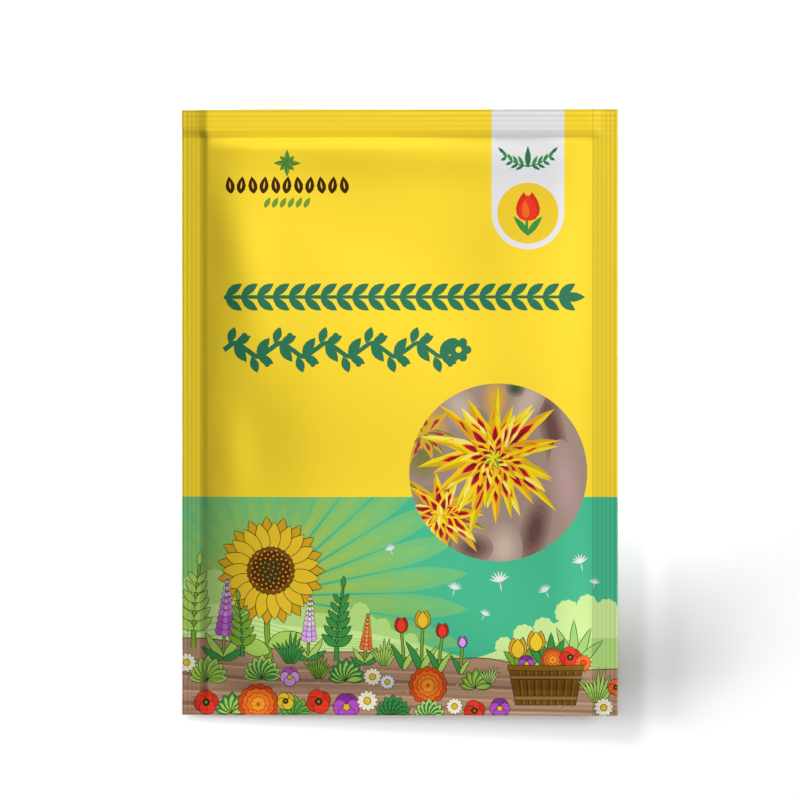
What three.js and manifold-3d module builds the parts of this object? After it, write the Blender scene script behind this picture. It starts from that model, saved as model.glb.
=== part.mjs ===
// A printed seed sachet lying on its back: a front and a back panel of laminated film,
// heat-sealed to each other along all four edges with crimped ribs, puffed by the air inside,
// with a pinch of seeds loose between them.
// Millimetres. +X runs across the sachet, +Y towards its top edge, +Z up out of its front.
// The origin is on the surface it lies on, under the middle of its rectangle.
import * as THREE from "three";
import { mergeVertices } from "three/addons/utils/BufferGeometryUtils.js";
import Module from "manifold-3d";

const wasm = await Module();
wasm.setup();

// The sachet's rectangle and its film
const WIDTH = 100;
const LENGTH = 139;
const FILM = 0.15;

// Seal margins: width, and number of ribs across it. The top seal's last rib is cut in half.
const SIDE_SEAL = { width: 5.9, ribs: 6 };
const TOP_SEAL = { width: 6.5, ribs: 5.5 };
const BOTTOM_SEAL = { width: 5.8, ribs: 6 };

// How far a rib stands out at the cut edge, the share of it that is left at the pocket,
// and how fast the ribs fade on the way
const RIB_RISE = 0.12;
const RIB_LEAST = 0.2;
const RIB_FADE = 4;

// The plane that the panels meet in, which the puffed pocket props up towards one corner:
// its height at the middle, and its slopes
const SEAL_HEIGHT = 6;
const SEAL_TILT = { x: 0.056, y: 0.014 };

// How each seal runs on outward from the pocket's edge: by a step and a steady slope.
// A step takes STEP_REACH, and past a corner of the pocket it dies away over CORNER_FADE.
const LEFT_RUN = { step: -0.76, slope: -0.1 };
const RIGHT_RUN = { step: 0, slope: -0.08 };
const TOP_RUN = { step: 0.48, slope: 0 };
const BOTTOM_RUN = { step: -0.3, slope: 0 };
const STEP_REACH = 1.9;
const CORNER_FADE = 1.6;

// The levels that the panels' inner faces reach inside their shoulders, and how wide the
// shoulder is along each seal. The back panel lies flat on the surface inside its shoulders.
const FRONT_LEVEL = 7.95;
const FRONT_SHOULDERS = { left: 16.7, right: 8.9, top: 3.1, bottom: 12.5 };
const BACK_LEVEL = FILM;
const BACK_SHOULDERS = { left: 20, right: 20, top: 22, bottom: 22 };

// The pocket between the seals
const POCKET_X = WIDTH / 2 - SIDE_SEAL.width;
const POCKET_TOP = LENGTH / 2 - TOP_SEAL.width;
const POCKET_BOTTOM = BOTTOM_SEAL.width - LENGTH / 2;
const POCKET_MIDDLE = (POCKET_TOP + POCKET_BOTTOM) / 2;
const POCKET_Y = (POCKET_TOP - POCKET_BOTTOM) / 2;

// Soft swells and dents of the front panel: middle, half sizes before the turn,
// turn in degrees, and height, which is negative for a dent. They fade in over shoulders
// of their own.
const FRONT_SWELLS = [
  { x: -37.1, y: -10.2, across: 8.4, along: 14.4, turn: 0, height: -3.7 },
  { x: -2, y: 5.5, across: 42.4, along: 16, turn: 19, height: 3.6 },
  { x: 39, y: 48.8, across: 49.7, along: 10.9, turn: 52, height: 2.6 },
  { x: 3.8, y: 60.4, across: 26.7, along: 4, turn: -1, height: 1.4 },
  { x: -25.4, y: 54.7, across: 45.9, along: 8.9, turn: -35, height: -0.8 },
  { x: 21.1, y: 31.2, across: 16, along: 38.6, turn: -5, height: -2.35 },
  { x: 37, y: -24.2, across: 6.7, along: 67.4, turn: 11, height: 0.85 },
  { x: -38.6, y: -9.4, across: 3.3, along: 7.8, turn: 1, height: 1.1 },
  { x: 11.2, y: -46.9, across: 65.5, along: 10.3, turn: -28, height: 1.15 },
  { x: -36.8, y: 37.3, across: 3.7, along: 12.3, turn: 11, height: 0.85 },
];
const SWELL_SHOULDERS = { left: 4.7, right: 10.9, top: 2.5, bottom: 6.3 };

// Cells over the pocket each way, and how much they crowd towards the seals (0 is evenly)
const POCKET_CELLS = { x: 20, y: 26 };
const CROWDING = 0.7;

// Seeds: half width, half thickness, most tilt in radians, and facets round and along one
const SEED_RADIUS = 0.62;
const SEED_HALF_THICKNESS = 0.42;
const SEED_TILT = 0.25;
const SEED_SIDES = 6;
const SEED_RINGS = 3;
const MERGE_DISTANCE = 1e-4;

// The pinch they lie in: middle, number of seeds, spacing, height of the heap's middle,
// and the clearance under it
const PINCH = {
  x: 3,
  y: -26,
  seeds: 64,
  spacing: 0.48,
  heap: 0.5,
  clearance: 0.1,
};
const GOLDEN_ANGLE = Math.PI * (3 - Math.sqrt(5));

// The repeatable draw that tilts and turns the seeds
const DRAW = { start: 7, factor: 1664525, addend: 1013904223, range: 2 ** 32 };

// Colours and roughness
const FRONT_LOOK = { color: 0xfadc33, roughness: 0.38 };
const BACK_LOOK = { color: 0xf0d02f, roughness: 0.42 };
const SEED_LOOK = { color: 0x2a1b14, roughness: 0.35 };

function repeatableRandom() {
  let state = DRAW.start;
  return () => {
    state = (Math.imul(state, DRAW.factor) + DRAW.addend) >>> 0;
    return state / DRAW.range;
  };
}

// Rises from 0 at a seal's inner edge and levels out to 1 at the shoulder's width
function shoulder(distance, width) {
  const t = THREE.MathUtils.clamp(distance / width, 0, 1);
  return t + Math.sin(Math.PI * t) / Math.PI;
}

// Share of the full belly over the point (x, y)
function bellyShare(x, y, widths) {
  return (
    shoulder(x + POCKET_X, widths.left) *
    shoulder(POCKET_X - x, widths.right) *
    shoulder(POCKET_TOP - y, widths.top) *
    shoulder(y - POCKET_BOTTOM, widths.bottom)
  );
}

function swellHeight(x, y, swell) {
  const turn = THREE.MathUtils.degToRad(swell.turn);
  const dx = x - swell.x;
  const dy = y - swell.y;
  const u = (dx * Math.cos(turn) + dy * Math.sin(turn)) / swell.across;
  const v = (dy * Math.cos(turn) - dx * Math.sin(turn)) / swell.along;
  return swell.height * Math.exp(-(u * u + v * v) / 2);
}

// Height of a seal's ribs at a distance outward from the pocket's edge
function ribHeight(distance, seal) {
  if (distance <= 0) return 0;
  const way = distance / seal.width;
  const rise = RIB_RISE * (RIB_LEAST + (1 - RIB_LEAST) * way ** RIB_FADE);
  return (rise * (1 - Math.cos(2 * Math.PI * seal.ribs * way))) / 2;
}

function ribs(x, y) {
  return (
    ribHeight(Math.abs(x) - POCKET_X, SIDE_SEAL) +
    ribHeight(y - POCKET_TOP, TOP_SEAL) +
    ribHeight(POCKET_BOTTOM - y, BOTTOM_SEAL)
  );
}

// How far a seal has run up or down at a distance outward from the pocket's edge, and at
// a distance past its corner. The step slopes evenly and levels out just before its end.
function runHeight(distance, run, corner) {
  if (distance <= 0) return 0;
  const t = Math.min(distance / STEP_REACH, 1);
  const stepped = (5 * t - t ** 5) / 4;
  const faded = Math.exp(-((corner / CORNER_FADE) ** 2));
  return run.step * stepped * faded + run.slope * distance;
}

// Where the two panels meet, carried on across the pocket
function sealPlane(x, y) {
  const beside = Math.max(Math.abs(x) - POCKET_X, 0);
  const beyond = Math.max(y - POCKET_TOP, POCKET_BOTTOM - y, 0);
  return (
    SEAL_HEIGHT +
    SEAL_TILT.x * x +
    SEAL_TILT.y * y +
    runHeight(-POCKET_X - x, LEFT_RUN, beyond) +
    runHeight(x - POCKET_X, RIGHT_RUN, beyond) +
    runHeight(y - POCKET_TOP, TOP_RUN, beside) +
    runHeight(POCKET_BOTTOM - y, BOTTOM_RUN, beside)
  );
}

// Heights of the four faces of film over the point (x, y)
function frontInside(x, y) {
  const share = bellyShare(x, y, FRONT_SHOULDERS);
  const swells = FRONT_SWELLS.reduce((sum, s) => sum + swellHeight(x, y, s), 0);
  const level = THREE.MathUtils.lerp(sealPlane(x, y), FRONT_LEVEL, share);
  return level + bellyShare(x, y, SWELL_SHOULDERS) * swells;
}

function frontOutside(x, y) {
  return frontInside(x, y) + FILM + ribs(x, y);
}

function backInside(x, y) {
  const share = bellyShare(x, y, BACK_SHOULDERS);
  return THREE.MathUtils.lerp(sealPlane(x, y), BACK_LEVEL, share);
}

function backOutside(x, y) {
  return backInside(x, y) - FILM - ribs(x, y);
}

// Grid lines over the pocket, from one edge to the other
function pocketLines(middle, half, cells) {
  const lines = [];
  for (let i = 0; i <= cells; i++) {
    const even = (2 * i) / cells - 1;
    const crowded = Math.sin((even * Math.PI) / 2);
    lines.push(middle + half * (even + CROWDING * (crowded - even)));
  }
  return lines;
}

// Grid lines over a seal, going outward: one on each rib's crest and one in each groove
function sealLines(edge, way, seal) {
  const count = 2 * seal.ribs;
  const lines = [];
  for (let i = 1; i <= count; i++) lines.push(edge + (way * i * seal.width) / count);
  return lines;
}

// Grid lines over a whole panel
const GRID = {
  xs: [
    ...sealLines(-POCKET_X, -1, SIDE_SEAL).reverse(),
    ...pocketLines(0, POCKET_X, POCKET_CELLS.x),
    ...sealLines(POCKET_X, 1, SIDE_SEAL),
  ],
  ys: [
    ...sealLines(POCKET_BOTTOM, -1, BOTTOM_SEAL).reverse(),
    ...pocketLines(POCKET_MIDDLE, POCKET_Y, POCKET_CELLS.y),
    ...sealLines(POCKET_TOP, 1, TOP_SEAL),
  ],
};

// Adds a face's vertices and returns their numbers, row by row
function addVertices(positions, height) {
  return GRID.ys.map((y) =>
    GRID.xs.map((x) => {
      positions.push(x, y, height(x, y));
      return positions.length / 3 - 1;
    }),
  );
}

function coverGrid(triangles, rows, facesUp) {
  for (let j = 0; j + 1 < rows.length; j++) {
    for (let i = 0; i + 1 < rows[j].length; i++) {
      const [a, b] = [rows[j][i], rows[j][i + 1]];
      const [d, c] = [rows[j + 1][i], rows[j + 1][i + 1]];
      if (facesUp) triangles.push(a, b, c, a, c, d);
      else triangles.push(a, c, b, a, d, c);
    }
  }
}

// Closes a cut edge of film between its upper and its lower line of vertices, which run
// the same way with the sachet on their left
function closeEdge(triangles, upper, lower) {
  for (let i = 0; i + 1 < upper.length; i++) {
    triangles.push(upper[i], lower[i], lower[i + 1]);
    triangles.push(upper[i], lower[i + 1], upper[i + 1]);
  }
}

// The lines of vertices round a face, anticlockwise from its lower left corner
function borders(rows) {
  const last = rows.length - 1;
  return [
    rows[0],
    rows.map((row) => row[row.length - 1]),
    [...rows[last]].reverse(),
    rows.map((row) => row[0]).reverse(),
  ];
}

// A panel of film between the heights of its upper and its lower face
function panelGeometry(upper, lower) {
  const positions = [];
  const triangles = [];
  const upperRows = addVertices(positions, upper);
  const lowerRows = addVertices(positions, lower);
  coverGrid(triangles, upperRows, true);
  coverGrid(triangles, lowerRows, false);
  const lowerBorders = borders(lowerRows);
  borders(upperRows).forEach((border, side) => {
    closeEdge(triangles, border, lowerBorders[side]);
  });
  return geometryFrom(positions, triangles);
}

function geometryFrom(positions, triangles) {
  const geometry = new THREE.BufferGeometry();
  geometry.setAttribute(
    "position",
    new THREE.Float32BufferAttribute(positions, 3),
  );
  geometry.setIndex([...triangles]);
  geometry.computeVertexNormals();
  return geometry;
}

// A six-sided lens with its corners merged: one seed at the origin, its flat side up
function seedShape() {
  const ball = new THREE.SphereGeometry(1, SEED_SIDES, SEED_RINGS);
  ball.rotateX(Math.PI / 2);
  ball.scale(SEED_RADIUS, SEED_RADIUS, SEED_HALF_THICKNESS);
  ball.deleteAttribute("normal");
  ball.deleteAttribute("uv");
  return mergeVertices(ball, MERGE_DISTANCE);
}

function solidFrom(geometry) {
  return new wasm.Manifold(
    new wasm.Mesh({
      numProp: 3,
      vertProperties: new Float32Array(geometry.attributes.position.array),
      triVerts: new Uint32Array(geometry.index.array),
    }),
  );
}

// The seeds lie on a spiral that spaces them evenly, heaped towards its middle, and are
// joined where they touch
function seedPinch() {
  const random = repeatableRandom();
  const shape = seedShape();
  const lowest =
    FILM +
    PINCH.clearance +
    Math.hypot(
      SEED_RADIUS * Math.sin(SEED_TILT),
      SEED_HALF_THICKNESS * Math.cos(SEED_TILT),
    );
  let pinch = null;
  for (let n = 0; n < PINCH.seeds; n++) {
    const reach = PINCH.spacing * Math.sqrt(n + 0.5);
    const angle = n * GOLDEN_ANGLE;
    const heaped = PINCH.heap * Math.max(0, 1 - (2 * n) / PINCH.seeds);
    const seed = shape.clone();
    seed.rotateX(SEED_TILT * (2 * random() - 1));
    seed.rotateZ(2 * Math.PI * random());
    seed.translate(
      PINCH.x + reach * Math.cos(angle),
      PINCH.y + reach * Math.sin(angle),
      lowest + heaped,
    );
    pinch = pinch ? pinch.add(solidFrom(seed)) : solidFrom(seed);
  }
  const mesh = pinch.getMesh();
  return geometryFrom(mesh.vertProperties, mesh.triVerts);
}

function addPiece(group, name, geometry, look) {
  const material = new THREE.MeshStandardMaterial({ ...look, metalness: 0 });
  const piece = new THREE.Mesh(geometry, material);
  piece.name = name;
  group.add(piece);
}

const sachet = new THREE.Group();
const frontPanel = panelGeometry(frontOutside, frontInside);
const backPanel = panelGeometry(backInside, backOutside);
addPiece(sachet, "front_film", frontPanel, FRONT_LOOK);
addPiece(sachet, "back_film", backPanel, BACK_LOOK);
addPiece(sachet, "seeds", seedPinch(), SEED_LOOK);

export default sachet;
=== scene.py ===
import math
import random

import bpy
import numpy as np
from mathutils import Matrix, Vector
from mathutils.bvhtree import BVHTree
from mathutils.geometry import delaunay_2d_cdt


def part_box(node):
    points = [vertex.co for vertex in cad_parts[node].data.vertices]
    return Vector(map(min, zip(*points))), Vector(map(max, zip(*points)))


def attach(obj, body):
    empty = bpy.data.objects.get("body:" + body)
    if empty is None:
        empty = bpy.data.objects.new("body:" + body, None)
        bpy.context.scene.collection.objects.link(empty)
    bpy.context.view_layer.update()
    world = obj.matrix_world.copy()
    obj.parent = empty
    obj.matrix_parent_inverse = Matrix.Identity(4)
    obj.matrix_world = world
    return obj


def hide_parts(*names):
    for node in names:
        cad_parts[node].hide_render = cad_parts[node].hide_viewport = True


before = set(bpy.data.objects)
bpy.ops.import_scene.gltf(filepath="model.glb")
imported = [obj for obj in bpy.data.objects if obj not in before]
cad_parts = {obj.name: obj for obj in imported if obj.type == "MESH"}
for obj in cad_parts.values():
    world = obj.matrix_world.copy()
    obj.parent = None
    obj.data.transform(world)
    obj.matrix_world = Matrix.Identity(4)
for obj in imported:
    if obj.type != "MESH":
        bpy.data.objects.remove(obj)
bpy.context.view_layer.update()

MM = 0.001

# Driving sizes: the rectangle from the frame, the rest as in the construction
front_low, front_high = (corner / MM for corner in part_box("front_film"))
WIDTH = front_high.x - front_low.x
LENGTH = front_high.y - front_low.y
FILM = 0.15
# The plane that the panels meet in: its height at the middle, and its slopes towards +X and +Y
SEAL_HEIGHT = 6
SEAL_TILT = {"x": 0.056, "y": 0.014}

# Seal margins: width, number of ribs across it, and how it runs on from the pocket's edge,
# by a step and a steady slope. A step takes STEP_REACH, and past a corner of the pocket it
# dies away over CORNER_FADE.
LEFT_SEAL = {"width": 5.9, "ribs": 6, "step": -0.76, "slope": -0.1}
RIGHT_SEAL = {"width": 5.9, "ribs": 6, "step": 0, "slope": -0.08}
TOP_SEAL = {"width": 6.5, "ribs": 5.5, "step": 0.48, "slope": 0}
BOTTOM_SEAL = {"width": 5.8, "ribs": 6, "step": -0.3, "slope": 0}
STEP_REACH = 1.9
CORNER_FADE = 1.6

# How far a rib stands out at the cut edge, the share of it left at the pocket, and its fading
RIB_RISE = 0.12
RIB_LEAST = 0.2
RIB_FADE = 4

# The pocket between the seals
POCKET_X = WIDTH / 2 - LEFT_SEAL["width"]
POCKET_TOP = LENGTH / 2 - TOP_SEAL["width"]
POCKET_BOTTOM = BOTTOM_SEAL["width"] - LENGTH / 2

# The levels that the panels' inner faces reach inside their shoulders, and each shoulder's width
FRONT_LEVEL = 7.95
FRONT_SHOULDERS = {"left": 16.7, "right": 8.9, "top": 3.1, "bottom": 12.5}
BACK_LEVEL = FILM
BACK_SHOULDERS = {"left": 20, "right": 20, "top": 22, "bottom": 22}

# Soft swells and dents of the front: x and y of the middle, half sizes across and along before
# the turn, turn in degrees, height; and how far from the seals they have faded in
FRONT_SWELLS = [
    (-37.1, -10.2, 8.4, 14.4, 0, -3.7),
    (-2, 5.5, 42.4, 16, 19, 3.6),
    (39, 48.8, 49.7, 10.9, 52, 2.6),
    (3.8, 60.4, 26.7, 4, -1, 1.4),
    (-25.4, 54.7, 45.9, 8.9, -35, -0.8),
    (21.1, 31.2, 16, 38.6, -5, -2.35),
    (37, -24.2, 6.7, 67.4, 11, 0.85),
    (-38.6, -9.4, 3.3, 7.8, 1, 1.1),
    (11.2, -46.9, 65.5, 10.3, -28, 1.15),
    (-36.8, 37.3, 3.7, 12.3, 11, 0.85),
]
SWELL_SHOULDERS = {"left": 4.7, "right": 10.9, "top": 2.5, "bottom": 6.3}


# Faces of the film
def shoulder(distance, width):
    t = np.clip(distance / width, 0, 1)
    return t + np.sin(np.pi * t) / np.pi


def belly_share(x, y, widths):
    return (
        shoulder(x + POCKET_X, widths["left"])
        * shoulder(POCKET_X - x, widths["right"])
        * shoulder(POCKET_TOP - y, widths["top"])
        * shoulder(y - POCKET_BOTTOM, widths["bottom"])
    )


def swell_height(dx, dy, across, along, turn, height):
    c, s = math.cos(math.radians(turn)), math.sin(math.radians(turn))
    u = (dx * c + dy * s) / across
    v = (dy * c - dx * s) / along
    return height * np.exp(-(u * u + v * v) / 2)


# Each seal with the distance outward from the pocket's edge to it, and past the pocket's corner
def seals(x, y):
    left = np.maximum(-POCKET_X - x, 0)
    right = np.maximum(x - POCKET_X, 0)
    top = np.maximum(y - POCKET_TOP, 0)
    bottom = np.maximum(POCKET_BOTTOM - y, 0)
    return (
        (LEFT_SEAL, left, top + bottom),
        (RIGHT_SEAL, right, top + bottom),
        (TOP_SEAL, top, left + right),
        (BOTTOM_SEAL, bottom, left + right),
    )


def rib_height(seal, distance):
    way = distance / seal["width"]
    rise = RIB_RISE * (RIB_LEAST + (1 - RIB_LEAST) * way ** RIB_FADE)
    return rise * (1 - np.cos(2 * np.pi * seal["ribs"] * way)) / 2


def ribs(x, y):
    return sum(rib_height(seal, distance) for seal, distance, corner in seals(x, y))


def run_height(seal, distance, corner):
    t = np.minimum(distance / STEP_REACH, 1)
    step = seal["step"] * (5 * t - t ** 5) / 4
    return step * np.exp(-((corner / CORNER_FADE) ** 2)) + seal["slope"] * distance


# Where the two panels meet, carried on across the pocket
def seal_plane(x, y):
    plane = SEAL_HEIGHT + SEAL_TILT["x"] * x + SEAL_TILT["y"] * y
    return plane + sum(run_height(*seal) for seal in seals(x, y))


def front_inside(x, y):
    share = belly_share(x, y, FRONT_SHOULDERS)
    swells = sum(swell_height(x - dx, y - dy, *sizes) for dx, dy, *sizes in FRONT_SWELLS)
    fade = belly_share(x, y, SWELL_SHOULDERS)
    return (1 - share) * seal_plane(x, y) + share * FRONT_LEVEL + fade * swells


def front_outside(x, y):
    return front_inside(x, y) + FILM + ribs(x, y)


def back_inside(x, y):
    share = belly_share(x, y, BACK_SHOULDERS)
    return (1 - share) * seal_plane(x, y) + share * BACK_LEVEL


def back_outside(x, y):
    return back_inside(x, y) - FILM - ribs(x, y)


def face_normals(height, x, y, facing):
    step = 0.02
    slope_x = (height(x + step, y) - height(x - step, y)) / (2 * step)
    slope_y = (height(x, y + step) - height(x, y - step)) / (2 * step)
    normals = np.stack([-slope_x, -slope_y, np.ones_like(x)], axis=1) * facing
    return normals / np.linalg.norm(normals, axis=1, keepdims=True)


# Materials. A finish is the scale of its unevenness, its range of roughness and its relief.
INK_STRENGTH = 0.86
# Painted shade: the share of an ink's colour kept in each zone. The top seal is printed a little darker and
# the side seals darker still, standing in for shade that falls there.
PAINTED_ZONE_SHADE = {"pocket": 1, "top_seal": 0.95, "side_seal": 0.8}
FILM_SPECULAR = 0.12
FILM_FINISH = {"scale": 9, "roughness": (0.4, 0.52), "relief": 0.02}
SEED_INK = (42, 27, 20)
SEED_FINISH = {"scale": 0.5, "roughness": (0.26, 0.42), "relief": 0.01}
FLOOR_FINISH = {"scale": 30, "roughness": (0.85, 0.95), "relief": 0.01}
NOISE_DETAIL = 3
BUMP_STRENGTH = 0.5


# Shares of light of an ink that is given in tones from 0 to 255
def linear(ink):
    shares = np.array(ink) / 255
    return np.where(shares < 0.04045, shares / 12.92, ((shares + 0.055) / 1.055) ** 2.4)


def toward(azimuth, zenith):
    a, z = math.radians(azimuth), math.radians(zenith)
    return Vector((math.sin(z) * math.cos(a), math.sin(z) * math.sin(a), math.cos(z)))


def new_material(name, color):
    material = bpy.data.materials.new(name)
    material.use_nodes = True
    shader = material.node_tree.nodes["Principled BSDF"]
    shader.inputs["Base Color"].default_value = (*color, 1)
    return material, shader


def add_surface(material, shader, scale, roughness, relief):
    tree = material.node_tree
    place = tree.nodes.new("ShaderNodeTexCoord")
    noise = tree.nodes.new("ShaderNodeTexNoise")
    noise.inputs["Scale"].default_value = 1 / (scale * MM)
    noise.inputs["Detail"].default_value = NOISE_DETAIL
    spread = tree.nodes.new("ShaderNodeMapRange")
    spread.inputs["To Min"].default_value = roughness[0]
    spread.inputs["To Max"].default_value = roughness[1]
    bump = tree.nodes.new("ShaderNodeBump")
    bump.inputs["Strength"].default_value = BUMP_STRENGTH
    bump.inputs["Distance"].default_value = relief * MM
    tree.links.new(place.outputs["Object"], noise.inputs["Vector"])
    tree.links.new(noise.outputs["Fac"], spread.inputs["Value"])
    tree.links.new(spread.outputs["Result"], shader.inputs["Roughness"])
    tree.links.new(noise.outputs["Fac"], bump.inputs["Height"])
    tree.links.new(bump.outputs["Normal"], shader.inputs["Normal"])


film_materials = {}


def film_material(ink, zone):
    if (ink, zone) not in film_materials:
        # The ink's colour, darkened in the seal margins by painted shade
        color = linear(ink) * INK_STRENGTH * PAINTED_ZONE_SHADE[zone]
        material, shader = new_material("ink_%02x%02x%02x_%s" % (*ink, zone), color)
        shader.inputs["Specular IOR Level"].default_value = FILM_SPECULAR
        add_surface(material, shader, **FILM_FINISH)
        film_materials[(ink, zone)] = material
    return film_materials[(ink, zone)]


def seed_material():
    material, shader = new_material("seed_coat", linear(SEED_INK))
    add_surface(material, shader, **SEED_FINISH)
    return material


# Inks of the print, as they look in even light
YELLOW = (252, 219, 51)
TEAL = (70, 186, 142)
WHITE = (232, 232, 234)
GROUND_GREEN = (46, 119, 84)
SEED_BROWN = (66, 36, 6)
LEAF_GREEN = (118, 152, 58)
LINE_INK = (44, 52, 22)
PALE_GREEN = (208, 237, 154)
SOFT_GREEN = (182, 222, 128)
HAZE_GREEN = (150, 205, 130)
RAY_NEAR = (156, 197, 96)
RAY_FAR = (112, 192, 124)
LIGHT_LEAF = (172, 212, 98)
MID_LEAF = (124, 170, 54)
DEEP_LEAF = (60, 146, 70)
DARK_LEAF = (36, 112, 60)
SOIL = (178, 140, 112)
SOIL_SHADE = (150, 114, 90)
SOIL_LIGHT = (198, 162, 132)
GOLD = (233, 194, 44)
DEEP_GOLD = (214, 164, 30)
ORANGE = (244, 108, 36)
DEEP_ORANGE = (214, 78, 22)
AMBER = (250, 156, 40)
RED = (236, 58, 34)
DEEP_RED = (188, 30, 30)
PURPLE = (184, 79, 198)
DEEP_PURPLE = (136, 48, 156)
LILAC = (222, 164, 240)
CREAM = (244, 238, 210)
BARK = (118, 78, 18)
DARK_BARK = (78, 48, 10)
TAUPE = (162, 138, 124)
CRIMSON = (178, 18, 40)
DARK_CRIMSON = (120, 14, 34)
LEMON = (240, 216, 22)
PALE_LEMON = (246, 232, 112)
OCHRE = (214, 176, 18)
GOLDEN = (246, 200, 16)
INSIDE_FILM = (206, 206, 204)

# Width of a drawn line, and how far a curve may stray between its points
LINE = 0.15
CHORD = 0.016
# The painted shapes in their order, each with its ink and the shape that it is kept within.
# The first is the whole sheet.
art = []
SHEET = 0


def dense(outline, step=0.8):
    points = []
    for start, end in zip(outline, np.roll(outline, -1, axis=0)):
        count = max(1, math.ceil(math.dist(start, end) / step))
        points += [start + (end - start) * k / count for k in range(count)]
    return np.array(points)


def paint(ink, outline, within=SHEET):
    art.append((ink, dense(outline), within))
    return len(art) - 1


def draw(ink, shape, *sizes, within=SHEET, line=LINE_INK, grow=LINE, **more):
    paint(line, shape(*sizes, grow=grow, **more), within)
    return paint(ink, shape(*sizes, **more), within)


def mix(ink, other, share):
    return tuple(round(a + (b - a) * share) for a, b in zip(ink, other))


def placed(points, x, y, turn):
    c, s = math.cos(math.radians(turn)), math.sin(math.radians(turn))
    return points @ np.array([[c, s], [-s, c]]) + (x, y)


def steps_round(radius):
    return max(12, math.ceil(math.pi / math.acos(1 - min(0.5, CHORD / max(radius, 0.05)))))


def rectangle(left, bottom, right, top):
    return np.array([[left, bottom], [right, bottom], [right, top], [left, top]], float)


def ellipse(x, y, across, along=None, turn=0, grow=0):
    along = along or across
    angles = np.linspace(0, 2 * math.pi, steps_round(max(across, along)), endpoint=False)
    points = np.stack([(across + grow) * np.cos(angles), (along + grow) * np.sin(angles)], axis=1)
    return placed(points, x, y, turn)


def scallop(x, y, radius, lobes, depth, turn=0, grow=0):
    per_lobe = max(5, math.ceil(steps_round(radius) * 1.6 / lobes))
    angles = np.linspace(0, 2 * math.pi, per_lobe * lobes, endpoint=False)
    reach = 1 - depth + depth * np.abs(np.cos(lobes * angles / 2)) ** 0.6
    points = np.stack([np.cos(angles), np.sin(angles)], axis=1) * (radius * reach + grow)[:, None]
    return placed(points, x, y, turn)


def polar(x, y, away, turn):
    angle = math.radians(turn)
    return x + away * math.cos(angle), y + away * math.sin(angle)


# A leaf from its root along turn. side keeps one half of it, and wave makes its edge wavy.
def leaf(x, y, length, width, turn, bend=0, belly=0.42, side=0, wave=0, grow=0):
    count = max(6, math.ceil(math.sqrt(length) * 3))
    t = (1 - np.cos(np.linspace(0, math.pi, count + 1))) / 2
    spread = np.sin(math.pi * t ** (math.log(0.5) / math.log(belly))) ** 0.9
    rim = grow * np.minimum(1, 8 * np.minimum(t, 1 - t) + 0.02)
    half = spread * width / 2 * (1 + wave * np.sin(17 * t)) + rim
    along = t * (length + 2 * grow) - grow
    across = bend * along * np.abs(along) / length
    slope = 2 * bend * np.abs(along) / length
    scale = np.sqrt(1 + slope ** 2)
    ahead = np.stack([-slope, np.ones_like(slope)], axis=1) / scale[:, None]
    middle = np.stack([along, across], axis=1)
    low = middle - ahead * (half * (side >= 0))[:, None]
    high = middle + ahead * (half * (side <= 0))[:, None]
    return placed(np.concatenate([low, high[-2:0:-1]]), x, y, turn)


def seed(x, y, length, width, turn, grow=0):
    return leaf(*polar(x, y, -length / 2, turn), length, width, turn, grow=grow)


def smooth(points, step=0.6):
    points = np.array(points, float)
    padded = np.concatenate([[2 * points[0] - points[1]], points, [2 * points[-1] - points[-2]]])
    curve = []
    for a, b, c, d in zip(padded, padded[1:], padded[2:], padded[3:]):
        count = max(2, math.ceil(np.hypot(*(c - b)) / step))
        for t in np.arange(count) / count:
            curve.append(0.5 * (2 * b + (c - a) * t + (2 * a - 5 * b + 4 * c - d) * t * t
                                + (3 * b - a - 3 * c + d) * t ** 3))
    return np.array(curve + [points[-1]])


def stem(path, start, end=None, grow=0):
    curve = smooth(path)
    end = start if end is None else end
    ahead = np.gradient(curve, axis=0)
    ahead /= np.linalg.norm(ahead, axis=1)[:, None]
    half = (np.linspace(start, end, len(curve)) / 2 + grow)[:, None]
    side = np.stack([ahead[:, 1], -ahead[:, 0]], axis=1) * half
    return np.concatenate([curve + side, (curve - side)[::-1]])


def ground(path, bottom=-LENGTH / 2 - 2):
    curve = smooth(path, 1.0)
    ends = np.array([[curve[-1][0], bottom], [curve[0][0], bottom]])
    return np.concatenate([curve, ends])[::-1]


# Plants of the printed meadow, each from the spot where it leaves the soil
def grass(x, y, height, blades, ink, spread=26):
    for k in range(blades):
        share = (k + 0.5) / blades * 2 - 1
        tall = height * (1 - 0.35 * abs(share)) * (0.86 + 0.14 * math.cos(5 * k))
        draw(ink, leaf, x + share * height * 0.12, y, tall, height * 0.085, 90 - spread * share,
             bend=-0.28 * share, belly=0.3)


def sprig(x, y, height, pairs, ink, lean=0, leaf_ink=None, size=0.3):
    top = (x + lean, y + height)
    middle = (x + lean * 0.25, y + height * 0.5)
    draw(ink, stem, [(x, y), middle, top], height * 0.045 + 0.2, height * 0.015 + 0.1)
    curve = smooth([(x, y), middle, top], height / 40)
    for k in range(pairs):
        place = curve[int((0.22 + 0.7 * k / pairs) * (len(curve) - 1))]
        long = height * size * (1 - 0.45 * k / pairs)
        for way in (-1, 1):
            if (k + (way > 0)) % 2 == 0 or pairs > 4:
                draw(leaf_ink or ink, leaf, *place, long, long * 0.42, 90 - way * (62 - 3 * k) - lean,
                     bend=0.14 * way)
    draw(leaf_ink or ink, leaf, *top, height * size * 0.6, height * size * 0.24, 90 - lean * 2)


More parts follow.
